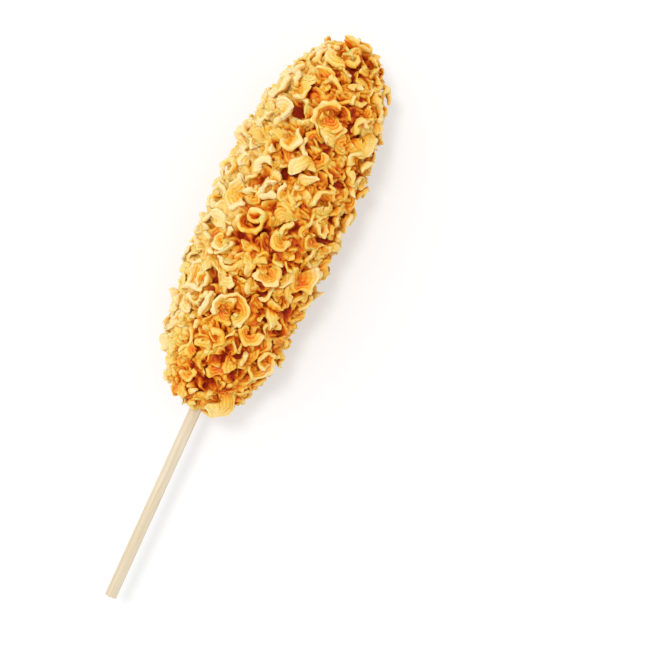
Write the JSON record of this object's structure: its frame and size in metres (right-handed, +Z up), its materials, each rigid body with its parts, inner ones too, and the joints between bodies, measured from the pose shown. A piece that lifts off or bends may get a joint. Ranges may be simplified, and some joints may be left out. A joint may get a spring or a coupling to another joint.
{
  "type": "corn dog",
  "caption": "Fried sausage in batter on a wooden stick, coated in curled noodle pieces, lying on its side.",
  "frame": {"origin": "bottom centre of the bounding box: under the middle of the whole, on the surface that it lies on", "axes": "+Z up, +Y along the stick from its free end to the tip of the food, +X across it"},
  "size_m": [0.0528, 0.221, 0.0509],
  "materials": {
    "noodle_crust": "deep-fried noodle pieces, golden with pale edges and red-brown batter in the gaps, a little oily",
    "stick": "pale bamboo with fine lengthwise fibres, unvarnished"
  },
  "bodies": {
    "root": {"noodle_crust": "noodle_crust", "stick": "stick"}
  },
  "joints": []
}
